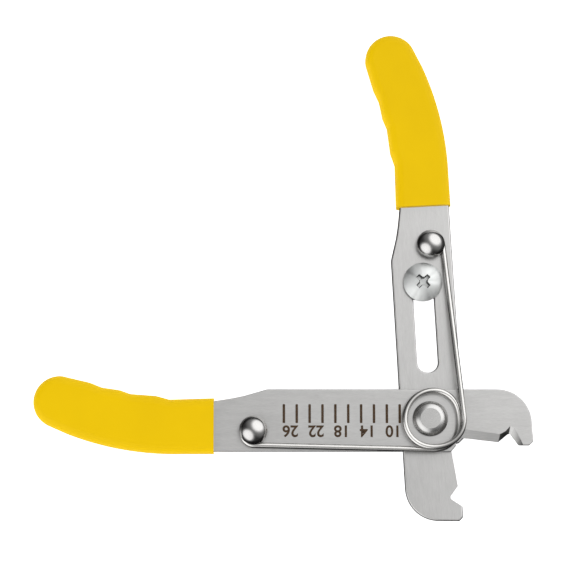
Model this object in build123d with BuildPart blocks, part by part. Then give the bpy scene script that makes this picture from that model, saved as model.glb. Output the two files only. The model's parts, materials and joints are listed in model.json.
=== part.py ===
from build123d import *
from math import asin, atan2, cos, degrees, hypot, radians, sin
import os

# Adjustable wire stripper: two identical blanks, one turned over, crossed on a pivot rivet.
# Units are millimetres.  The pivot axis is Z through the origin, the tool lies flat on z = 0,
# the scale arm points along -X and the stop arm stands near +Y, with the jaws past the pivot.

# ---------------------------------------------------------------- driving dimensions
PLATE = 1.6                  # blank thickness
PLATE_GAP = 0.05             # oil gap between the crossed blanks
FACE_ROUND = 0.45            # die roll round a blank's mating face
EDGE_ROUND = 0.25            # tumbled edge of its outer face
SLOT_ROUND = 0.3             # die roll round the slot
STOP_BLANK_SHIFT = 0.2       # stop arm's holes sit this much nearer its finger side
GRIP_THICKNESS = 6.0         # vinyl sleeve, across both faces
GRIP_ROUND = 2.2             # its moulded edge
OPEN_LEAN = 3.08             # stop arm leans this many degrees past square when open

BACK_EDGE = 7.65             # finger-side edge of a blank, from the pivot
FRONT_EDGE = -8.5            # cutting-side edge of a blank, from the pivot
SHOULDER = (-42.2, BACK_EDGE)   # where the finger-side edge starts to taper
GRIP_MOUTH_X = -56.0         # open end of the vinyl sleeve
PALM_EDGE = -9.1             # palm side of the sleeve, straight as far as its bow
PALM_BOW_START = (-64.0, PALM_EDGE)
JAW_TIP_X = 26.35            # outermost side of the jaw
BEVEL_LAND = 0.25            # thickness left at the ground cutting edge
TANG_END_X = -93.0           # palm side of the tang's round end, inside the grip

# Corners of the jaw, in the blank's own frame.
NOSE_START = (17.6, BACK_EDGE)
NOSE_MIDDLE = (23.95, 4.95)
NOSE_END = (JAW_TIP_X, -1.0)
JAW_CORNER = (26.7, -5.9)
JAW_TOE = (25.7, -6.88)
NOTCH_FOOT = (22.95, -6.88)
NOTCH_LIP = (22.65, -6.45)
NOTCH_OUT = (21.0, -4.15)    # where the notch's rounded apex meets its two walls
NOTCH_APEX = (20.5, -3.9)
NOTCH_IN = (20.0, -4.1)
TOOTH = (17.7, -6.0)
BLADE_HEEL = (6.9, -4.72)
HEEL_TOP = (6.6, -7.0)
HEEL_FOOT = (5.3, FRONT_EDGE)

# Corners of the tang, and the rounding of the outline's corners.
TANG_START = (-60.0, FRONT_EDGE)
TANG_PALM = (-77.0, -7.1)
TANG_TOE = (TANG_END_X, -2.9)
TANG_TIP = (-97.0, 3.6)
TANG_HEEL = (-93.6, 8.2)
TANG_WAIST = (-70.0, 4.1)
TANG_BOW = (-56.0, 4.55)
TAPER_FOOT = (-48.0, 5.95)
JAW_CORNER_R = 0.9
JAW_TOE_R = 0.5
HEEL_TOP_R = 0.5
HEEL_FOOT_R = 0.8
SHOULDER_R = 4.0

# Where the grinder runs out on the blank's face, above the edge that it sharpens.
GRIND_BELOW = -9.5
GRIND_BACK = (BLADE_HEEL[0], -2.45)
GRIND_TOOTH = (18.05, -3.95)
GRIND_NOTCH_IN = (19.45, -3.25)
GRIND_APEX = (20.75, -1.85)
GRIND_NOTCH_OUT = (21.8, -2.3)
GRIND_LIP = (23.3, -5.2)
GRIND_TOE = (25.3, GRIND_BELOW)
EDGE_TOE = (24.85, GRIND_BELOW)

# Outline of the grip, with its three finger ledges.
MOUTH_TOP_Y = 5.25
PALM_BOW = (-79.5, -7.95)
PALM_END = (-93.8, -4.0)
GRIP_END_START = (-98.6, -1.9)
GRIP_END_TIP = (-102.65, 4.2)
GRIP_END_TOP = (-95.2, 10.95)
FINGER_LEDGES = (
    (-88.2, 9.3), (-84.9, 8.0), (-80.4, 7.35), (-77.6, 6.35), (-70.9, 5.85), (-67.5, 4.9),
)
LEDGE_R = 1.6
PALM_CORNER_R = 3.0

PIVOT_SHANK_R = 2.5
PIVOT_HEAD_R = 4.55
PIVOT_FLAT_R = 2.65
PIVOT_HEAD_HEIGHT = 1.7
PIVOT_RIM = 0.35
PIVOT_FOOT_CHAMFER = 0.4
PIVOT_FLANK_BULGE = 0.2      # how far the top head's flank bows out from a straight cone
PIVOT_CROWN_ROUND = 0.25
PIVOT_RIM_ROUND = 0.2
RUNNING_FIT = 0.05           # radial and axial clearance where pieces turn or slide
THREAD_FIT = 0.04
FIXED_FIT = 0.02             # between pieces that are fastened to each other

SLOT_WIDTH = 5.5
SLOT_LINE_Y = -0.45          # slot centre line in the blank's own frame
SLOT_NEAR_X = -14.9          # centre of the slot end nearest the pivot
SLOT_FAR_X = -37.8           # centre of the slot end nearest the grip
STOP_X = -35.9               # the stop screw's place along the slot

SCREW_SHANK_R = 2.0          # M4
SCREW_HEAD_R = 5.1
SCREW_HEAD_HEIGHT = 2.3
SCREW_RIM = 0.35
RECESS_DEPTH = 1.5
RECESS_WIDTH = 1.3
RECESS_SPAN = 4.3
RECESS_CORE_R = 1.15         # round middle where the recess's wings meet
RECESS_TAPER = 12
SCREW_TIP_CHAMFER = 0.3
WASHER_R = 4.7
WASHER_THICKNESS = 0.6
NUT_WIDTH = 8.4
NUT_LENGTH = 8.0
NUT_BOSS_LENGTH = 7.0
NUT_CORNER_R = 1.0
NUT_CHAMFER = 0.3
NUT_RECESS = 0.1             # nut's set-back from the bench and from the washer
WASHER_CHAMFER = 0.12

POST_X = -45.8               # spring post, in the blank's own frame
POST_Y = -3.1
POST_HEAD_R = 3.65
POST_DOME = 2.2
POST_RIM = 0.25
POST_NECK_R = 1.6
POST_NECK_HEIGHT = 1.75
POST_TAIL_R = 1.25
POST_TAIL_FLARE_R = 1.9
POST_TAIL_FLARE = 0.6

WIRE = 1.45                  # spring wire diameter
COIL_R = 7.4                 # mean radius of the coil
COIL_CENTRE = (0.95, -0.55)
COIL_CORNERS = 10            # corners that turn the wire through its turn and a quarter
COIL_RISE = 1.87             # from the lower turn's start to the upper turn's end
WIRE_LIFT = 0.05             # between the wire and the plate that it lies on
BEND_SHARE = 0.97            # each bend's radius, as a share of its circle's
HOOK_CORNERS = 5
SCALE_HOOK_SHIFT = 0.25      # hook's centre past its post's, away from the grip
HOOK_CLEAR = 0.1             # between the hooked wire and the post's neck
HOOK_TURN = 215              # degrees of wire round each post
SCALE_LEG_OFFSET = 3.8       # leg's centre line from its post's centre
STOP_LEG_OFFSET = 3.15

# ---------------------------------------------------------------- levels
STOP_PLATE_BOTTOM = GRIP_THICKNESS / 2 - PLATE / 2
STOP_PLATE_TOP = STOP_PLATE_BOTTOM + PLATE
SCALE_PLATE_BOTTOM = STOP_PLATE_TOP + PLATE_GAP
SCALE_PLATE_TOP = SCALE_PLATE_BOTTOM + PLATE
NUT_BOTTOM = NUT_RECESS
NUT_FLANGE_TOP = STOP_PLATE_BOTTOM - RUNNING_FIT
NUT_BOSS_TOP = STOP_PLATE_TOP - NUT_RECESS
WASHER_BOTTOM = STOP_PLATE_TOP + FIXED_FIT
SCREW_HEAD_BOTTOM = WASHER_BOTTOM + WASHER_THICKNESS + FIXED_FIT
SCREW_HEAD_TOP = SCREW_HEAD_BOTTOM + SCREW_HEAD_HEIGHT
SCREW_TIP = NUT_BOTTOM + SCREW_TIP_CHAMFER
LOW_WIRE = SCALE_PLATE_TOP + WIRE_LIFT + WIRE / 2  # coil's lower turn, lying on the scale arm
HIGH_WIRE = LOW_WIRE + COIL_RISE
STOP_HOOK_WIRE = STOP_PLATE_TOP + WIRE_LIFT + WIRE / 2

lean = radians(OPEN_LEAN)
# Each blank is drawn with its mating face at height 0, growing outward.
SCALE_PLANE = Plane(origin=(0, 0, SCALE_PLATE_BOTTOM), x_dir=(1, 0, 0), z_dir=(0, 0, 1))
STOP_PLANE = Plane(
    origin=(0, 0, STOP_PLATE_TOP), x_dir=(sin(lean), -cos(lean), 0), z_dir=(0, 0, -1)
)
STOP_BLANK_PLANE = Plane(
    origin=STOP_PLANE.from_local_coords(Vector(0, -STOP_BLANK_SHIFT, 0)),
    x_dir=STOP_PLANE.x_dir,
    z_dir=STOP_PLANE.z_dir,
)


def cap_middle(radius, height):
    """Half-way point, out and up, of the arc of a round cap seen from the side."""
    sphere = (radius ** 2 + height ** 2) / (2 * height)
    half = asin(radius / sphere) / 2
    return sphere * sin(half), height - sphere * (1 - cos(half))


def on_stop_arm(x, y):
    """World x, y of a point given in the stop arm's own blank frame."""
    point = STOP_PLANE.from_local_coords(Vector(x, y, 0))
    return point.X, point.Y


# ---------------------------------------------------------------- blanks
def blank_outline():
    """The stamped outline: jaw with its notch, arm, taper and the tang inside the grip."""
    with BuildSketch() as sketch:
        with BuildLine():
            ThreePointArc(NOSE_START, NOSE_MIDDLE, NOSE_END)
            Polyline(NOSE_END, JAW_CORNER, JAW_TOE, NOTCH_FOOT, NOTCH_LIP, NOTCH_OUT)
            ThreePointArc(NOTCH_OUT, NOTCH_APEX, NOTCH_IN)
            Polyline(NOTCH_IN, TOOTH, BLADE_HEEL, HEEL_TOP, HEEL_FOOT, TANG_START)
            ThreePointArc(TANG_START, TANG_PALM, TANG_TOE)
            ThreePointArc(TANG_TOE, TANG_TIP, TANG_HEEL)
            Line(TANG_HEEL, TANG_WAIST)
            ThreePointArc(TANG_WAIST, TANG_BOW, TAPER_FOOT)
            Polyline(TAPER_FOOT, SHOULDER, NOSE_START)
        make_face()
        for corner, radius in (
            (JAW_CORNER, JAW_CORNER_R),
            (JAW_TOE, JAW_TOE_R),
            (HEEL_TOP, HEEL_TOP_R),
            (HEEL_FOOT, HEEL_FOOT_R),
            (SHOULDER, SHOULDER_R),
        ):
            fillet(sketch.vertices().sort_by_distance(corner)[:1], radius=radius)
    return sketch.sketch


def grinding_wheel(plane):
    """What the grinder removes from the outer face, leaving the sharp edge at the mating face."""
    heel_below = (BLADE_HEEL[0], GRIND_BELOW)
    edge = (
        BLADE_HEEL, TOOTH, NOTCH_IN, NOTCH_APEX, NOTCH_OUT, NOTCH_LIP, EDGE_TOE, heel_below
    )
    shoulder = (
        GRIND_BACK, GRIND_TOOTH, GRIND_NOTCH_IN, GRIND_APEX, GRIND_NOTCH_OUT, GRIND_LIP,
        GRIND_TOE, heel_below,
    )
    with BuildPart(mode=Mode.PRIVATE) as wheel:
        for outline, height in ((edge, BEVEL_LAND), (shoulder, PLATE)):
            with BuildSketch(plane.offset(height)):
                with BuildLine():
                    Polyline(*outline, close=True)
                make_face()
        loft(ruled=True)
    return wheel.part


def on_blade(plane, edge):
    """True for the outline edges along the ground blade, which stay sharp."""
    place = plane.to_local_coords(edge.center())
    return BLADE_HEEL[0] < place.X < NOTCH_FOOT[0] + 0.3 and NOTCH_FOOT[1] - 0.3 < place.Y < -3.5


def make_blank(plane):
    with BuildPart() as blank:
        with BuildSketch(plane):
            add(blank_outline())
        extrude(amount=PLATE)
        for height, radius in ((0, FACE_ROUND), (PLATE, EDGE_ROUND)):
            rim = blank.edges().filter_by(
                lambda edge: abs(plane.to_local_coords(edge.center()).Z - height) < 0.01
            )
            fillet([edge for edge in rim if not on_blade(plane, edge)], radius=radius)
        add(grinding_wheel(plane), mode=Mode.SUBTRACT)
    return blank.part


def post_hole(x, y, bottom):
    """Stepped hole that a post's tail is riveted into, flared at the lower face."""
    with BuildPart(mode=Mode.PRIVATE) as tool:
        with BuildSketch(Plane(origin=(x, y, 0), x_dir=(1, 0, 0), z_dir=(0, -1, 0))):
            with BuildLine():
                Polyline(
                    (0, bottom),
                    (POST_TAIL_FLARE_R + FIXED_FIT, bottom),
                    (POST_TAIL_R + FIXED_FIT, bottom + POST_TAIL_FLARE),
                    (POST_TAIL_R + FIXED_FIT, bottom + PLATE),
                    (0, bottom + PLATE),
                    close=True,
                )
            make_face()
        revolve(axis=Axis((x, y, 0), (0, 0, 1)))
    return tool.part


POST_ON_SCALE = (POST_X, POST_Y)
POST_ON_STOP = on_stop_arm(POST_X, POST_Y)
STOP_PLACE = on_stop_arm(STOP_X, SLOT_LINE_Y)

with BuildPart() as scale_arm:
    add(make_blank(SCALE_PLANE))
    with BuildSketch(SCALE_PLANE):
        Circle(PIVOT_SHANK_R + FIXED_FIT)
    extrude(amount=PLATE, mode=Mode.SUBTRACT)
    add(post_hole(*POST_ON_SCALE, SCALE_PLATE_BOTTOM), mode=Mode.SUBTRACT)

with BuildPart() as stop_arm:
    add(make_blank(STOP_BLANK_PLANE))
    with BuildSketch(STOP_PLANE):
        Circle(PIVOT_SHANK_R + RUNNING_FIT)
        with Locations(((SLOT_NEAR_X + SLOT_FAR_X) / 2, SLOT_LINE_Y)):
            SlotCenterToCenter(SLOT_NEAR_X - SLOT_FAR_X, SLOT_WIDTH)
    extrude(amount=PLATE, mode=Mode.SUBTRACT)
    slot_rim = stop_arm.faces().sort_by(Axis.Z)[-1].inner_wires().sort_by(SortBy.LENGTH)[-1]
    fillet(slot_rim.edges(), radius=SLOT_ROUND)
    add(post_hole(*POST_ON_STOP, STOP_PLATE_BOTTOM), mode=Mode.SUBTRACT)


# ---------------------------------------------------------------- vinyl grips
def grip_outline():
    """Sleeve outline: cut mouth, bowed palm side, round end, three finger ledges."""
    with BuildSketch() as sketch:
        with BuildLine():
            Polyline((GRIP_MOUTH_X, MOUTH_TOP_Y), (GRIP_MOUTH_X, PALM_EDGE), PALM_BOW_START)
            ThreePointArc(PALM_BOW_START, PALM_BOW, PALM_END)
            Line(PALM_END, GRIP_END_START)
            ThreePointArc(GRIP_END_START, GRIP_END_TIP, GRIP_END_TOP)
            FilletPolyline(
                GRIP_END_TOP, *FINGER_LEDGES, (GRIP_MOUTH_X, MOUTH_TOP_Y), radius=LEDGE_R
            )
        make_face()
        for corner in (PALM_END, GRIP_END_START):
            fillet(sketch.vertices().sort_by_distance(corner)[:1], radius=PALM_CORNER_R)
    return sketch.sketch


def make_grip(plane, blank_plane):
    with BuildPart() as grip:
        middle = plane.offset(PLATE / 2)
        with BuildSketch(middle):
            add(grip_outline())
        extrude(amount=GRIP_THICKNESS / 2, both=True)
        outer_edges = grip.faces().filter_by(Axis.Z).edges()
        fillet(
            [e for e in outer_edges if plane.to_local_coords(e.center()).X < GRIP_MOUTH_X - 0.1],
            radius=GRIP_ROUND,
        )
        with BuildSketch(blank_plane):
            add(blank_outline())
        extrude(amount=PLATE, mode=Mode.SUBTRACT)
    return grip.part


with BuildPart() as scale_arm_grip:
    add(make_grip(SCALE_PLANE, SCALE_PLANE))

with BuildPart() as stop_arm_grip:
    add(make_grip(STOP_PLANE, STOP_BLANK_PLANE))

# ---------------------------------------------------------------- pivot rivet
with BuildPart() as pivot_rivet:
    with BuildSketch(Plane.XZ):
        with BuildLine():
            Polyline(
                (0, 0),
                (PIVOT_HEAD_R - PIVOT_FOOT_CHAMFER, 0),
                (PIVOT_HEAD_R, PIVOT_FOOT_CHAMFER),
                (PIVOT_HEAD_R, STOP_PLATE_BOTTOM - RUNNING_FIT),
                (PIVOT_SHANK_R, STOP_PLATE_BOTTOM - RUNNING_FIT),
                (PIVOT_SHANK_R, SCALE_PLATE_TOP),
                (PIVOT_HEAD_R, SCALE_PLATE_TOP),
                (PIVOT_HEAD_R, SCALE_PLATE_TOP + PIVOT_RIM),
            )
            rim_top = Vector(PIVOT_HEAD_R, SCALE_PLATE_TOP + PIVOT_RIM)
            flat_edge = Vector(PIVOT_FLAT_R, SCALE_PLATE_TOP + PIVOT_HEAD_HEIGHT)
            along = (flat_edge - rim_top).normalized()
            bulge = (rim_top + flat_edge) / 2 + Vector(along.Y, -along.X) * PIVOT_FLANK_BULGE
            ThreePointArc(rim_top, bulge, flat_edge)
            Polyline(flat_edge, (0, SCALE_PLATE_TOP + PIVOT_HEAD_HEIGHT), (0, 0))
        make_face()
    revolve(axis=Axis.Z)
    crown = pivot_rivet.faces().sort_by(Axis.Z)[-1].edges()
    fillet(crown, radius=PIVOT_CROWN_ROUND)
    rim = pivot_rivet.edges().filter_by(GeomType.CIRCLE).filter_by(
        lambda e: abs(e.center().Z - SCALE_PLATE_TOP - PIVOT_RIM) < 0.01
    )
    fillet(rim, radius=PIVOT_RIM_ROUND)


# ---------------------------------------------------------------- spring posts
def make_post(x, y, bottom):
    """Dome-headed post: flared tail in the plate, neck for the spring's hook, domed head."""
    top = bottom + PLATE
    head = top + POST_NECK_HEIGHT
    with BuildPart() as post:
        with BuildSketch(Plane(origin=(x, y, 0), x_dir=(1, 0, 0), z_dir=(0, -1, 0))):
            with BuildLine():
                Polyline(
                    (0, bottom),
                    (POST_TAIL_FLARE_R, bottom),
                    (POST_TAIL_R, bottom + POST_TAIL_FLARE),
                    (POST_TAIL_R, top),
                    (POST_NECK_R, top),
                    (POST_NECK_R, head),
                    (POST_HEAD_R, head),
                    (POST_HEAD_R, head + POST_RIM),
                )
                out, up = cap_middle(POST_HEAD_R, POST_DOME)
                dome = ThreePointArc(
                    (POST_HEAD_R, head + POST_RIM),
                    (out, head + POST_RIM + up),
                    (0, head + POST_RIM + POST_DOME),
                )
                Line(dome @ 1, (0, bottom))
            make_face()
        revolve(axis=Axis((x, y, 0), (0, 0, 1)))
    return post.part


with BuildPart() as scale_arm_spring_post:
    add(make_post(*POST_ON_SCALE, SCALE_PLATE_BOTTOM))

with BuildPart() as stop_arm_spring_post:
    add(make_post(*POST_ON_STOP, STOP_PLATE_BOTTOM))

# ---------------------------------------------------------------- adjustable stop
stop_x, stop_y = STOP_PLACE
STOP_AXIS = Axis((stop_x, stop_y, 0), (0, 0, 1))


def along_slot(height):
    """Plane at a world height through the stop, with X along the slot."""
    return Plane(
        origin=(stop_x, stop_y, height), x_dir=(-sin(lean), cos(lean), 0), z_dir=(0, 0, 1)
    )


with BuildPart() as stop_nut:
    with BuildSketch(along_slot(NUT_BOTTOM)):
        RectangleRounded(NUT_LENGTH, NUT_WIDTH, NUT_CORNER_R)
    extrude(amount=NUT_FLANGE_TOP - NUT_BOTTOM)
    chamfer(stop_nut.faces().sort_by(Axis.Z)[0].edges(), length=NUT_CHAMFER)
    with BuildSketch(along_slot(NUT_FLANGE_TOP)):
        SlotOverall(NUT_BOSS_LENGTH, SLOT_WIDTH - 2 * RUNNING_FIT)
    extrude(amount=NUT_BOSS_TOP - NUT_FLANGE_TOP)
    with BuildSketch(along_slot(NUT_BOTTOM)):
        Circle(SCREW_SHANK_R + THREAD_FIT)
    extrude(amount=NUT_BOSS_TOP - NUT_BOTTOM, mode=Mode.SUBTRACT)

with BuildPart() as stop_washer:
    with BuildSketch(along_slot(WASHER_BOTTOM)):
        Circle(WASHER_R)
        Circle(SCREW_SHANK_R + RUNNING_FIT, mode=Mode.SUBTRACT)
    extrude(amount=WASHER_THICKNESS)
    rims = stop_washer.edges().filter_by(GeomType.CIRCLE).group_by(SortBy.RADIUS)[-1]
    chamfer(rims, length=WASHER_CHAMFER)

with BuildPart() as stop_screw:
    with BuildSketch(Plane(origin=(stop_x, stop_y, 0), x_dir=(1, 0, 0), z_dir=(0, -1, 0))):
        with BuildLine():
            Polyline(
                (0, SCREW_TIP),
                (SCREW_SHANK_R - SCREW_TIP_CHAMFER, SCREW_TIP),
                (SCREW_SHANK_R, SCREW_TIP + SCREW_TIP_CHAMFER),
                (SCREW_SHANK_R, SCREW_HEAD_BOTTOM),
                (SCREW_HEAD_R, SCREW_HEAD_BOTTOM),
                (SCREW_HEAD_R, SCREW_HEAD_BOTTOM + SCREW_RIM),
            )
            out, up = cap_middle(SCREW_HEAD_R, SCREW_HEAD_HEIGHT - SCREW_RIM)
            truss = ThreePointArc(
                (SCREW_HEAD_R, SCREW_HEAD_BOTTOM + SCREW_RIM),
                (out, SCREW_HEAD_BOTTOM + SCREW_RIM + up),
                (0, SCREW_HEAD_TOP),
            )
            Line(truss @ 1, (0, SCREW_TIP))
        make_face()
    revolve(axis=STOP_AXIS)
    with BuildSketch(
        Plane(origin=(stop_x, stop_y, SCREW_HEAD_TOP), x_dir=(1, 1, 0), z_dir=(0, 0, 1))
    ):
        Rectangle(RECESS_SPAN, RECESS_WIDTH)
        Rectangle(RECESS_WIDTH, RECESS_SPAN)
        Circle(RECESS_CORE_R)
    extrude(amount=-RECESS_DEPTH, taper=RECESS_TAPER, mode=Mode.SUBTRACT)


# ---------------------------------------------------------------- torsion return spring
HOOK_REACH = POST_NECK_R + HOOK_CLEAR + WIRE / 2   # wire centre from post centre, loaded side

scale_hook_r = (HOOK_REACH + SCALE_LEG_OFFSET) / 2
scale_hook = (
    POST_ON_SCALE[0] + SCALE_HOOK_SHIFT,
    POST_ON_SCALE[1] - SCALE_LEG_OFFSET + scale_hook_r,
)
stop_hook_r = (HOOK_REACH + STOP_LEG_OFFSET) / 2
stop_hook = (POST_ON_STOP[0] + STOP_LEG_OFFSET - stop_hook_r, POST_ON_STOP[1])


def tangent_angle(first, first_r, second, second_r):
    """Angle of the outward normal where a line leaves one circle and meets the next,
    both turned clockwise."""
    dx = second[0] - first[0]
    dy = second[1] - first[1]
    span = hypot(dx, dy)
    lift = (first_r - second_r) / span
    drop = (1 - lift * lift) ** 0.5
    return degrees(atan2(dy * lift + dx * drop, dx * lift - dy * drop))


def clockwise(centre, radius, start, turn, corners, high, low):
    """Corner points of a polygon round a circle, its first side touching at the start angle."""
    step = radians(turn) / corners
    reach = radius / cos(step / 2)
    points = []
    for corner in range(corners):
        share = (corner + 0.5) / corners
        angle = radians(start) - share * radians(turn)
        points.append((
            centre[0] + reach * cos(angle),
            centre[1] + reach * sin(angle),
            high + (low - high) * share,
        ))
    return points


def hook_tip(centre, radius, angle, height):
    return centre[0] + radius * cos(radians(angle)), centre[1] + radius * sin(radians(angle)), height


stop_leg_angle = tangent_angle(stop_hook, stop_hook_r, COIL_CENTRE, COIL_R)
scale_leg_angle = tangent_angle(COIL_CENTRE, COIL_R, scale_hook, scale_hook_r)
coil_turn = 360 + stop_leg_angle - scale_leg_angle

route = [hook_tip(stop_hook, stop_hook_r, stop_leg_angle + HOOK_TURN, STOP_HOOK_WIRE)]
route += clockwise(
    stop_hook, stop_hook_r, stop_leg_angle + HOOK_TURN, HOOK_TURN, HOOK_CORNERS,
    STOP_HOOK_WIRE, STOP_HOOK_WIRE,
)
route += clockwise(
    COIL_CENTRE, COIL_R, stop_leg_angle, coil_turn, COIL_CORNERS, HIGH_WIRE, LOW_WIRE
)
route += clockwise(
    scale_hook, scale_hook_r, scale_leg_angle, HOOK_TURN, HOOK_CORNERS, LOW_WIRE, LOW_WIRE
)
route.append(hook_tip(scale_hook, scale_hook_r, scale_leg_angle - HOOK_TURN, LOW_WIRE))
bends = [stop_hook_r] * HOOK_CORNERS + [COIL_R] * COIL_CORNERS + [scale_hook_r] * HOOK_CORNERS

with BuildPart() as return_spring:
    with BuildLine() as wire_path:
        FilletPolyline(*route, radius=[BEND_SHARE * bend for bend in bends])
    start = wire_path.line
    with BuildSketch(Plane(origin=start @ 0, z_dir=start % 0)):
        Circle(WIRE / 2)
    sweep(path=wire_path.line)

# ---------------------------------------------------------------- write the pieces
pieces = {
    "scale_arm": scale_arm,
    "scale_arm_grip": scale_arm_grip,
    "scale_arm_spring_post": scale_arm_spring_post,
    "pivot_rivet": pivot_rivet,
    "return_spring": return_spring,
    "stop_arm": stop_arm,
    "stop_arm_grip": stop_arm_grip,
    "stop_arm_spring_post": stop_arm_spring_post,
    "stop_nut": stop_nut,
    "stop_washer": stop_washer,
    "stop_screw": stop_screw,
}
os.makedirs("parts", exist_ok=True)
for name, piece in pieces.items():
    piece.part.label = name
    export_step(piece.part, f"parts/{name}.step")
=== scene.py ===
"""Looks of the adjustable wire stripper: steel, vinyl, wire, gauge marks, studio and camera."""
import json
from math import atan2, ceil, cos, exp, pi, radians, sin, sqrt

import bmesh
import bpy
from mathutils import Matrix, Vector


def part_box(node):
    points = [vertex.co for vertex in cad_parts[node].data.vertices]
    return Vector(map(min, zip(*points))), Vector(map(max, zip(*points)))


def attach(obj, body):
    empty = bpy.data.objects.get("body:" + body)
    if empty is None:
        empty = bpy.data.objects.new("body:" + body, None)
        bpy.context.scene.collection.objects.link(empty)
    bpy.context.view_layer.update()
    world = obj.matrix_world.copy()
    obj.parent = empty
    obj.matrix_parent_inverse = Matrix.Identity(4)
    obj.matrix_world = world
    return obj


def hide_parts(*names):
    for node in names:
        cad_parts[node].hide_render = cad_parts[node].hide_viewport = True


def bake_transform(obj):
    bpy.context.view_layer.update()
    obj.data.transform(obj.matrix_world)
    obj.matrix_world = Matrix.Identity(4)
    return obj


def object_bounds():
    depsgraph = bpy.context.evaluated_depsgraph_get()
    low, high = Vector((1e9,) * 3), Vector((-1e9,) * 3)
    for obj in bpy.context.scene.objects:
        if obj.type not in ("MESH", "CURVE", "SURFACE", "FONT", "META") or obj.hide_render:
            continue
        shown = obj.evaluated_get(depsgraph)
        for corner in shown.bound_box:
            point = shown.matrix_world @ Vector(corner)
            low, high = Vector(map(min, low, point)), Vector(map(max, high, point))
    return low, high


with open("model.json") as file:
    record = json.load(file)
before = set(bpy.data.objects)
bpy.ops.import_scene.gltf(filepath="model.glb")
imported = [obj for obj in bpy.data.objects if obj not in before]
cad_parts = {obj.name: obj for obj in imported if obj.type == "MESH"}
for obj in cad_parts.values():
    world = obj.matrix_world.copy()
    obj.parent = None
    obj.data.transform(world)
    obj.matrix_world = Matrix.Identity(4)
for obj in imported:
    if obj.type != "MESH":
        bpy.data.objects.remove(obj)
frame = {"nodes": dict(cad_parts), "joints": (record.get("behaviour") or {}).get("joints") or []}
cad_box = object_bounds()
nodes = frame["nodes"]
scene = bpy.context.scene
MM = 0.001


# ------------------------------------------------------------------ places, from the frame
def middle(node):
    low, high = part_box(node)
    return (low + high) / 2


def top(node):
    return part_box(node)[1].z


scale_top = top("scale_arm")
stop_top = top("stop_arm")
spring_top = top("return_spring")
scale_post = middle("scale_arm_spring_post")
stop_post = middle("stop_arm_spring_post")
stop_screw = middle("stop_screw")
slide = next(joint for joint in frame["joints"] if joint["name"] == "stop_slide")
STOP_ARM_AXIS = Vector(slide["axis"])
SCALE_ARM_AXIS = Vector((-1, 0, 0))


# ------------------------------------------------------------------ node helpers
class Nodes:
    """A few short calls for wiring one material or world."""

    def __init__(self, tree):
        self.tree = tree
        tree.nodes.clear()

    def add(self, kind, settings=None, **inputs):
        node = self.tree.nodes.new(kind)
        for key, value in (settings or {}).items():
            setattr(node, key, value)
        for key, value in inputs.items():
            self.put(node.inputs[key.replace("_", " ")], value)
        return node

    def put(self, socket, value):
        if isinstance(value, bpy.types.NodeSocket):
            self.tree.links.new(value, socket)
        else:
            socket.default_value = value

    def math(self, operation, first, second=0.0):
        node = self.add("ShaderNodeMath", {"operation": operation})
        self.put(node.inputs[0], first)
        self.put(node.inputs[1], second)
        return node.outputs[0]

    def weighted(self, first, first_weight, second, second_weight):
        """Sum of two values, each times its weight."""
        first_part = self.math("MULTIPLY", first, first_weight)
        second_part = self.math("MULTIPLY", second, second_weight)
        return self.math("ADD", first_part, second_part)

    def around(self, value, centre, spread):
        """A value of 0 to 1, spread evenly to both sides of a centre."""
        return self.math("ADD", self.math("MULTIPLY", value, spread), centre - spread / 2)

    def vector(self, operation, first, second=(0, 0, 0)):
        node = self.add("ShaderNodeVectorMath", {"operation": operation})
        self.put(node.inputs[0], first)
        self.put(node.inputs[1], second)
        gives_number = operation in ("LENGTH", "DOT_PRODUCT")
        return node.outputs["Value" if gives_number else "Vector"]

    def ramp(self, factor, stops):
        node = self.add("ShaderNodeValToRGB")
        node.color_ramp.elements[0].position = stops[0][0]
        node.color_ramp.elements[0].color = rgba(stops[0][1])
        node.color_ramp.elements[1].position = stops[-1][0]
        node.color_ramp.elements[1].color = rgba(stops[-1][1])
        for position, value in stops[1:-1]:
            node.color_ramp.elements.new(position).color = rgba(value)
        self.put(node.inputs[0], factor)
        return node.outputs[0]

    def noise(self, place, scale, detail=3.0, roughness=0.55):
        node = self.add(
            "ShaderNodeTexNoise", Vector=place, Scale=scale, Detail=detail, Roughness=roughness
        )
        return node.outputs["Fac"]

    def noise_along(self, value, scale, detail):
        """Noise that changes with one number only."""
        node = self.add(
            "ShaderNodeTexNoise", {"noise_dimensions": "1D"}, W=value, Scale=scale, Detail=detail
        )
        return node.outputs["Fac"]

    def mapped(self, angle=0.0, stretch=(1, 1, 1)):
        """Object coordinates, turned so that X runs along a given angle, then stretched."""
        place = self.add("ShaderNodeTexCoord").outputs["Object"]
        turned = self.add("ShaderNodeMapping", Vector=place, Rotation=(0, 0, -angle))
        return self.add("ShaderNodeMapping", Vector=turned.outputs[0], Scale=stretch).outputs[0]

    def dull_and_shaded_walls(self, colour, shade, steep, gentle):
        """Colour times a shade where the normal's Z is under steep, and as it is over gentle; this
        darkening of steep walls is painted shade, and on cut edges also duller steel.
        """
        normal = self.add("ShaderNodeTexCoord").outputs["Normal"]
        facing = self.add("ShaderNodeSeparateXYZ", Vector=normal)
        level = self.math("ABSOLUTE", facing.outputs["Z"])
        return self.vector("MULTIPLY", colour, self.ramp(level, [(steep, shade), (gentle, 1.0)]))


def rgba(value):
    if isinstance(value, (int, float)):
        return value, value, value, 1.0
    return (*value, 1.0)


def new_material(name):
    material = bpy.data.materials.new(name)
    material.use_nodes = True
    return material, Nodes(material.node_tree)


def finish_shader(n, **inputs):
    shader = n.add("ShaderNodeBsdfPrincipled", **inputs)
    n.add("ShaderNodeOutputMaterial", Surface=shader.outputs[0])


# ------------------------------------------------------------------ materials
FINE_GRAIN = (700, 5200, 900)      # noise cells per metre along, across and through a blank
BROAD_GRAIN = (160, 1300, 300)
CLOUD_SCALE = 110.0
TURNED_RING_SCALE = 5200.0
TURNED_STREAK_SCALE = 2.2
HAZE_SCALE = 350.0


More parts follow.
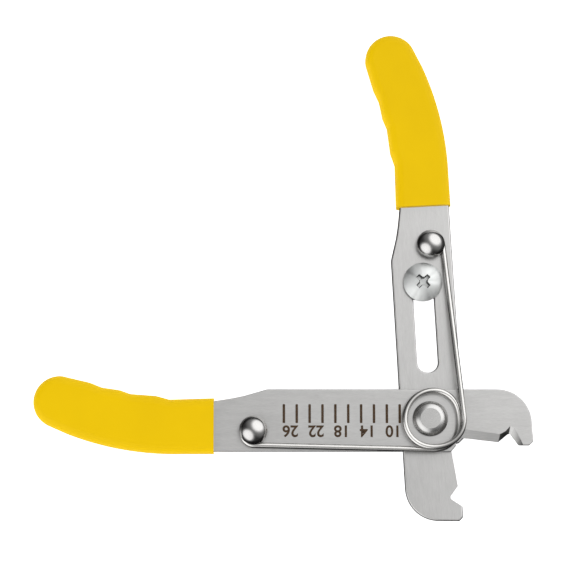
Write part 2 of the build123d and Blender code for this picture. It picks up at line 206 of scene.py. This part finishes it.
def brushed_steel(name, along, light, dark, roughness):
    """Linished sheet: fine lines along the arm over broader ones, cloudy patches, and cut edges
    darkened, partly as duller steel and partly as painted shade.
    """
    angle = atan2(along.y, along.x)
    material, n = new_material(name)
    fine = n.noise(n.mapped(angle, FINE_GRAIN), 1.0, 4.0, 0.65)
    broad = n.noise(n.mapped(angle, BROAD_GRAIN), 1.0)
    cloud = n.noise(n.mapped(), CLOUD_SCALE, 2.0)
    lines = n.weighted(fine, 0.5, broad, 0.3)
    tone = n.weighted(lines, 1.0, cloud, 0.2)
    colour = n.ramp(tone, [(0.36, dark), (0.64, light)])
    # partly painted shade: steep cut edges darkened to 0.62, for duller sheared steel and for shadow and
    # dark reflection on the edges
    colour = n.dull_and_shaded_walls(colour, shade=0.62, steep=0.7, gentle=0.86)
    rough = n.around(tone, roughness, 0.22)
    bump = n.add("ShaderNodeBump", Strength=0.3, Distance=0.008 * MM, Height=lines)
    finish_shader(n, Base_Color=colour, Metallic=1.0, Roughness=rough, Normal=bump.outputs[0])
    return material


def vinyl():
    """Moulded vinyl: even colour with faint mottling, soft satin skin, slight mould ripple."""
    material, n = new_material("grip_vinyl")
    place = n.mapped()
    mottle = n.noise(place, 90.0)
    skin = n.noise(place, 2600.0)
    ripple = n.noise(place, 160.0, 1.0)
    colour = n.ramp(mottle, [(0.3, (0.79, 0.512, 0.001)), (0.7, (0.82, 0.535, 0.001))])
    rough = n.around(skin, 0.43, 0.14)
    height = n.weighted(skin, 0.12, ripple, 1.0)
    bump = n.add("ShaderNodeBump", Strength=0.3, Distance=0.12 * MM, Height=height)
    finish_shader(
        n, Base_Color=colour, Roughness=rough, Specular_IOR_Level=0.08, Normal=bump.outputs[0]
    )
    return material


def turned_tooling(n, place, pits, centre, streaks):
    """Rings round a centre, mixed with pits, and soft streaks that run outward from it."""
    offset = n.vector("SUBTRACT", place, (*centre, 0))
    radius = n.vector("LENGTH", n.vector("MULTIPLY", offset, (1, 1, 0)))
    rings = n.noise_along(radius, TURNED_RING_SCALE, 3.0)
    tooling = n.weighted(rings, 0.7, pits, 0.3)
    if streaks:
        sides = n.add("ShaderNodeSeparateXYZ", Vector=offset)
        bearing = n.math("ARCTAN2", sides.outputs["Y"], sides.outputs["X"])
        rays = n.noise_along(bearing, TURNED_STREAK_SCALE, 2.0)
        tooling = n.weighted(tooling, 1.0, rays, streaks)
    return tooling


def bright_metal(name, base, roughness, grain, centre=None, streaks=0.0):
    """Polished or plated metal with fine pits, turned about a centre where it has one, and painted shade
    darkening its steep walls.
    """
    material, n = new_material(name)
    place = n.mapped()
    tooling = n.noise(place, grain)
    if centre:
        tooling = turned_tooling(n, place, tooling, centre, streaks)
    haze = n.noise(place, HAZE_SCALE, 2.0)
    colour = n.ramp(haze, [(0.3, [channel * 0.92 for channel in base]), (0.7, base)])
    # painted shade: steep walls darkened to 0.30, for the shadow gaps and dark rims round heads,
    # recesses and the wire's sides
    colour = n.dull_and_shaded_walls(colour, shade=0.30, steep=0.35, gentle=0.7)
    rough = n.around(tooling, roughness, 0.12)
    bump = n.add("ShaderNodeBump", Strength=0.25, Distance=0.01 * MM, Height=tooling)
    finish_shader(n, Base_Color=colour, Metallic=1.0, Roughness=rough, Normal=bump.outputs[0])
    return material


def etched_mark():
    """Laser-annealed mark: dark brown, a little uneven."""
    material, n = new_material("gauge_mark")
    burn = n.noise(n.mapped(), 3000.0)
    colour = n.ramp(burn, [(0.3, (0.030, 0.016, 0.007)), (0.7, (0.085, 0.045, 0.018))])
    rough = n.around(burn, 0.6, 0.2)
    finish_shader(n, Base_Color=colour, Metallic=0.3, Roughness=rough)
    return material


def studio_floor():
    """White sweep, lit from within so that it stays pale all the way out."""
    material, n = new_material("studio_floor")
    colour = n.ramp(n.noise(n.mapped(), 20.0), [(0.3, 0.93), (0.7, 0.95)])
    finish_shader(
        n, Base_Color=colour, Roughness=0.9, Specular_IOR_Level=0.1,
        Emission_Color=(1, 1, 1, 1), Emission_Strength=0.85,
    )
    return material


def dress(piece, material):
    piece.data.materials.clear()
    piece.data.materials.append(material)


SCALE_STEEL = brushed_steel(
    "scale_arm_steel", SCALE_ARM_AXIS,
    light=(0.72, 0.715, 0.705), dark=(0.61, 0.605, 0.595), roughness=0.34,
)
STOP_STEEL = brushed_steel(
    "stop_arm_steel", STOP_ARM_AXIS,
    light=(0.73, 0.725, 0.715), dark=(0.63, 0.625, 0.615), roughness=0.34,
)
VINYL = vinyl()
RIVET_STEEL = bright_metal("rivet_steel", (0.66, 0.655, 0.645), 0.27, 2500.0, centre=(0, 0))
WIRE_STEEL = bright_metal("spring_wire", (0.74, 0.73, 0.71), 0.16, 4000.0)
DOME_STEEL = bright_metal("post_steel", (0.66, 0.65, 0.64), 0.14, 3000.0)
ZINC = bright_metal(
    "screw_zinc", (0.90, 0.915, 0.905), 0.2, 3200.0, centre=(stop_screw.x, stop_screw.y), streaks=6.0
)
MARK = etched_mark()

for node, material, slot_name in (
    ("scale_arm", SCALE_STEEL, "arm_steel"),
    ("stop_arm", STOP_STEEL, "arm_steel"),
    ("scale_arm_grip", VINYL, "grip_vinyl"),
    ("stop_arm_grip", VINYL, "grip_vinyl"),
    ("pivot_rivet", RIVET_STEEL, "rivet_steel"),
    ("scale_arm_spring_post", DOME_STEEL, "post_steel"),
    ("stop_arm_spring_post", DOME_STEEL, "post_steel"),
    ("stop_screw", ZINC, "screw_zinc"),
    ("stop_washer", ZINC, "screw_zinc"),
    ("stop_nut", ZINC, "screw_zinc"),
):
    dress(nodes[node], material)
for node in ("scale_arm_grip", "stop_arm_grip"):
    nodes[node].visible_glossy = False     # the grips don't tint the polished domes


# ------------------------------------------------------------------ new pieces
def mesh_of(curve):
    """The finished mesh of a curve or a text."""
    holder = bpy.data.objects.new(curve.name + "_curve", curve)
    scene.collection.objects.link(holder)
    depsgraph = bpy.context.evaluated_depsgraph_get()
    mesh = bpy.data.meshes.new_from_object(holder.evaluated_get(depsgraph))
    bpy.data.objects.remove(holder)
    return mesh


def add_object(name, data):
    piece = bpy.data.objects.new(name, data)
    scene.collection.objects.link(piece)
    return piece


# ------------------------------------------------------------------ return spring
WIRE_R = 0.72 * MM
WIRE_ROUNDNESS = 7                 # bevel resolution
COIL_CENTRE = (0.95 * MM, -0.40 * MM)
COIL_R = 7.62 * MM
COIL_STEPS = 144
COIL_DIPS = ((0.2, 0.6 * MM), (0.8, 1.1 * MM))   # where the turns tuck in past the legs, and how far
DIP_SHARPNESS = 10
HOOK_TURN = radians(215)           # wire round each post
HOOK_STEPS = 36
NECK_REACH = 2.43 * MM             # wire centre from post centre on the loaded side
SCALE_LEG_OFFSET = 3.8 * MM        # leg's centre line from its post's centre
STOP_LEG_OFFSET = 3.15 * MM
SCALE_HOOK_SHIFT = 0.25 * MM       # hook's centre past its post's, away from the grip
WIRE_LIFT = 0.05 * MM              # between the wire and the plate under it
TOP_CLEARANCE = 0.03 * MM          # under the top of the CAD spring
LEG_PART = 1.2 * MM                # longest straight part of a leg
SHORT_RUN_PARTS = 4                # a run of more parts than this is a leg
LEG_EASE = 0.35                    # share of a leg's change of height that eases in and out


def tangent_angle(first, first_r, second, second_r):
    """Angle of the outward normal where a line leaves one circle and meets the next, clockwise."""
    dx = second[0] - first[0]
    dy = second[1] - first[1]
    lift = (first_r - second_r) / sqrt(dx * dx + dy * dy)
    drop = sqrt(1 - lift * lift)
    return atan2(dy * lift + dx * drop, dx * lift - dy * drop)


def on_circle(centre, radius, angle, level):
    return centre[0] + radius * cos(angle), centre[1] + radius * sin(angle), level


def coil_radius(share):
    """Radius at a share of the coil's length, less where it tucks in past a leg."""
    tuck = 0
    for place, dip in COIL_DIPS:
        tuck += dip * exp(-(((share - place) * DIP_SHARPNESS) ** 2))
    return COIL_R - tuck


def spring_route():
    """Centre line of the wire: hook, leg, the turns round the rivet, leg, hook."""
    scale_r = (NECK_REACH + SCALE_LEG_OFFSET) / 2
    stop_r = (NECK_REACH + STOP_LEG_OFFSET) / 2
    scale_hook = (scale_post.x + SCALE_HOOK_SHIFT, scale_post.y - SCALE_LEG_OFFSET + scale_r)
    stop_hook = (stop_post.x + STOP_LEG_OFFSET - stop_r, stop_post.y)
    low = scale_top + WIRE_LIFT + WIRE_R
    high = spring_top - WIRE_R - TOP_CLEARANCE
    stop_level = stop_top + WIRE_LIFT + WIRE_R
    start = tangent_angle(stop_hook, stop_r, COIL_CENTRE, COIL_R)
    end = tangent_angle(COIL_CENTRE, COIL_R, scale_hook, scale_r)
    turn = start + 2 * pi - end
    route = []
    for step in range(HOOK_STEPS + 1):
        angle = start + HOOK_TURN * (1 - step / HOOK_STEPS)
        route.append(on_circle(stop_hook, stop_r, angle, stop_level))
    for step in range(COIL_STEPS + 1):
        share = step / COIL_STEPS
        level = high + (low - high) * share
        route.append(on_circle(COIL_CENTRE, coil_radius(share), start - share * turn, level))
    for step in range(HOOK_STEPS + 1):
        angle = end - HOOK_TURN * step / HOOK_STEPS
        route.append(on_circle(scale_hook, scale_r, angle, low))
    return route


def eased_legs(route):
    """Adds points along the straight legs, easing the height out of both ends."""
    filled = [Vector(route[0])]
    for place in route[1:]:
        last = filled[-1].copy()
        point = Vector(place)
        parts = max(1, ceil((point - last).length / LEG_PART))
        for part in range(1, parts + 1):
            share = part / parts
            spot = last.lerp(point, share)
            if parts > SHORT_RUN_PARTS:
                eased = share * share * (3 - 2 * share) * LEG_EASE + share * (1 - LEG_EASE)
                spot.z = last.z + (point.z - last.z) * eased
            filled.append(spot)
    return filled


def wire_mesh(name, route, radius):
    curve = bpy.data.curves.new(name, "CURVE")
    curve.dimensions = "3D"
    curve.bevel_depth = radius
    curve.bevel_resolution = WIRE_ROUNDNESS
    curve.use_fill_caps = True
    spline = curve.splines.new("POLY")
    spline.points.add(len(route) - 1)
    for point, place in zip(spline.points, route):
        point.co = (*place, 1)
    mesh = mesh_of(curve)
    for face in mesh.polygons:
        face.use_smooth = True
    return mesh


spring = add_object("torsion_spring", wire_mesh("torsion_spring", eased_legs(spring_route()), WIRE_R))
dress(spring, WIRE_STEEL)
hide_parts("return_spring")
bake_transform(spring)

# ------------------------------------------------------------------ gauge marks
TICKS = 10
TICK_FIRST_X = -37.9 * MM
TICK_LAST_X = -7.9 * MM
TICK_PITCH = (TICK_LAST_X - TICK_FIRST_X) / (TICKS - 1)
TICK_TOP_Y = 3.6 * MM
TICK_BOTTOM_Y = -1.0 * MM
TICK_WIDTH = 0.66 * MM
TICK_ROUNDING = TICK_WIDTH / 4     # how far each rounded end stands out
TICK_END_STEPS = 8
MARK_HEIGHT = 0.012 * MM
NUMBERS = ("26", "22", "18", "14", "10")   # wire gauges, one number to two ticks
NUMBER_LINE_Y = -1.85 * MM         # the line that the numbers stand on
NUMBER_SIZE = 4.15 * MM
NUMBER_WEIGHT = 0.09 * MM          # thickens the strokes
NUMBER_PITCH = 2 * TICK_PITCH
NUMBER_SHIFT = 0.25                # of a number's pitch, from its first tick towards its second


def tick_corners(x):
    """Outline of one tick: straight sides, gently rounded ends."""
    corners = []
    for base, first_angle in ((TICK_TOP_Y, 0), (TICK_BOTTOM_Y, pi)):
        for step in range(TICK_END_STEPS + 1):
            angle = first_angle + pi * step / TICK_END_STEPS
            side = x + cos(angle) * TICK_WIDTH / 2
            corners.append((side, base + sin(angle) * TICK_ROUNDING, scale_top))
    return corners


def tick_mesh():
    """Thin, round-ended bars lying on the scale arm."""
    work = bmesh.new()
    for tick in range(TICKS):
        verts = [work.verts.new(corner) for corner in tick_corners(TICK_FIRST_X + TICK_PITCH * tick)]
        face = work.faces.new(verts)
        raised = bmesh.ops.extrude_face_region(work, geom=[face])["geom"]
        for item in raised:
            if isinstance(item, bmesh.types.BMVert):
                item.co.z += MARK_HEIGHT
    bmesh.ops.recalc_face_normals(work, faces=work.faces)
    mesh = bpy.data.meshes.new("gauge_ticks")
    work.to_mesh(mesh)
    work.free()
    return mesh


def number_mesh(number, x):
    """A gauge number, turned half round so that it reads from the arm's finger side."""
    curve = bpy.data.curves.new("number_" + number, "FONT")
    curve.body = number
    curve.size = NUMBER_SIZE
    curve.align_x = "CENTER"
    curve.extrude = MARK_HEIGHT / 2
    curve.offset = NUMBER_WEIGHT
    mesh = mesh_of(curve)
    place = Matrix.Translation((x, NUMBER_LINE_Y, scale_top + MARK_HEIGHT / 2))
    mesh.transform(place @ Matrix.Rotation(pi, 4, "Z"))
    return mesh


def add_mark(name, mesh):
    """A mark lies on the scale arm and moves with it."""
    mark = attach(add_object(name, mesh), "scale_side")
    dress(mark, MARK)


add_mark("gauge_ticks", tick_mesh())
for index, number in enumerate(NUMBERS):
    number_x = TICK_FIRST_X + NUMBER_PITCH * (index + NUMBER_SHIFT)
    add_mark("gauge_number_" + number, number_mesh(number, number_x))

# ------------------------------------------------------------------ studio
FLOOR_HALF = 3.0
FLOOR_GAP = 0.02 * MM              # between the floor and the rivet's foot
SOFTBOX_AIM = (-0.04, 0.03, 0)
SOFTBOX_SIDE = 0.6
TENT_STRENGTH = 1.9
BRIGHT_SIDE = (0.54, 0.54, 0.64)
BRIGHT_SIDE_STOPS = [              # cosine of the angle from the bright side, and the light there
    (0.0, 0.02), (0.2, 0.05), (0.4, 0.10), (0.55, 0.125), (0.64, 0.21), (0.74, 0.42), (0.84, 0.76),
    (1.0, 0.80),
]
REFLECTOR = (-0.62, -0.57, 0.54)
REFLECTOR_STOPS = [
    (0.0, 0.0), (0.5, 0.0), (0.66, 0.03), (0.76, 0.2), (0.84, 0.6), (1.0, 0.76),
]
BENCH_SHADE_STOPS = [(0.0, 0.35), (0.12, 1.0), (1.0, 1.0)]


def add_floor():
    mesh = bpy.data.meshes.new("studio_floor")
    corners = [(x * FLOOR_HALF, y * FLOOR_HALF, 0) for x, y in ((-1, -1), (1, -1), (1, 1), (-1, 1))]
    mesh.from_pydata(corners, [], [(0, 1, 2, 3)])
    floor = add_object("studio_floor", mesh)
    floor.location.z = cad_box[0].z - FLOOR_GAP
    floor.data.materials.append(studio_floor())
    floor.visible_glossy = False


def add_softbox(name, place, power):
    """A square area light that fills the shade but doesn't show in the metal."""
    light = bpy.data.lights.new(name, "AREA")
    light.shape = "RECTANGLE"
    light.size = SOFTBOX_SIDE
    light.size_y = SOFTBOX_SIDE
    light.energy = power
    holder = add_object(name, light)
    holder.location = place
    holder.rotation_euler = (Vector(SOFTBOX_AIM) - Vector(place)).to_track_quat("-Z", "Y").to_euler()
    holder.visible_glossy = False


def light_world():
    """A studio tent: a bright side to the right, a reflector opposite, the rest dim, darker low down."""
    world = bpy.data.worlds.new("studio_tent")
    scene.world = world
    world.use_nodes = True
    n = Nodes(world.node_tree)
    direction = n.add("ShaderNodeTexCoord").outputs["Generated"]

    def glow(towards, stops):
        return n.ramp(n.vector("DOT_PRODUCT", direction, Vector(towards).normalized()), stops)

    light = n.vector("ADD", glow(BRIGHT_SIDE, BRIGHT_SIDE_STOPS), glow(REFLECTOR, REFLECTOR_STOPS))
    light = n.vector("MULTIPLY", light, glow((0, 0, 1), BENCH_SHADE_STOPS))
    shade = n.add("ShaderNodeBackground", Color=light, Strength=TENT_STRENGTH)
    n.add("ShaderNodeOutputWorld", Surface=shade.outputs[0])


def add_camera():
    """Long lens over the tool, leaning a few degrees to the palm side of the scale arm."""
    distance = 519.4 * MM
    lens_mm = 125.2
    sensor_mm = 36.0
    tilt = radians(-8.12)
    pan = radians(0.81)
    roll = radians(0.03)
    aim_right = -36.81 * MM
    aim_up = 33.95 * MM
    plate_level = 4.65 * MM
    rolled = Matrix.Rotation(roll, 3, "Z")
    turn = (rolled @ Matrix.Rotation(tilt, 3, "X") @ Matrix.Rotation(pan, 3, "Y")).transposed()
    camera = bpy.data.cameras.new("camera")
    camera.lens = lens_mm
    camera.sensor_width = sensor_mm
    camera.clip_start = 0.01
    holder = add_object("camera", camera)
    place = turn @ Vector((aim_right, aim_up, distance)) + Vector((0, 0, plate_level))
    holder.matrix_world = Matrix.Translation(place) @ turn.to_4x4()
    scene.camera = holder


add_floor()
light_world()
add_softbox("key_softbox", (-0.35, -0.45, 0.65), power=2.0)
add_softbox("fill_softbox", (0.35, 0.25, 0.75), power=0.6)
add_camera()
scene.view_settings.view_transform = "Standard"
scene.view_settings.look = "None"
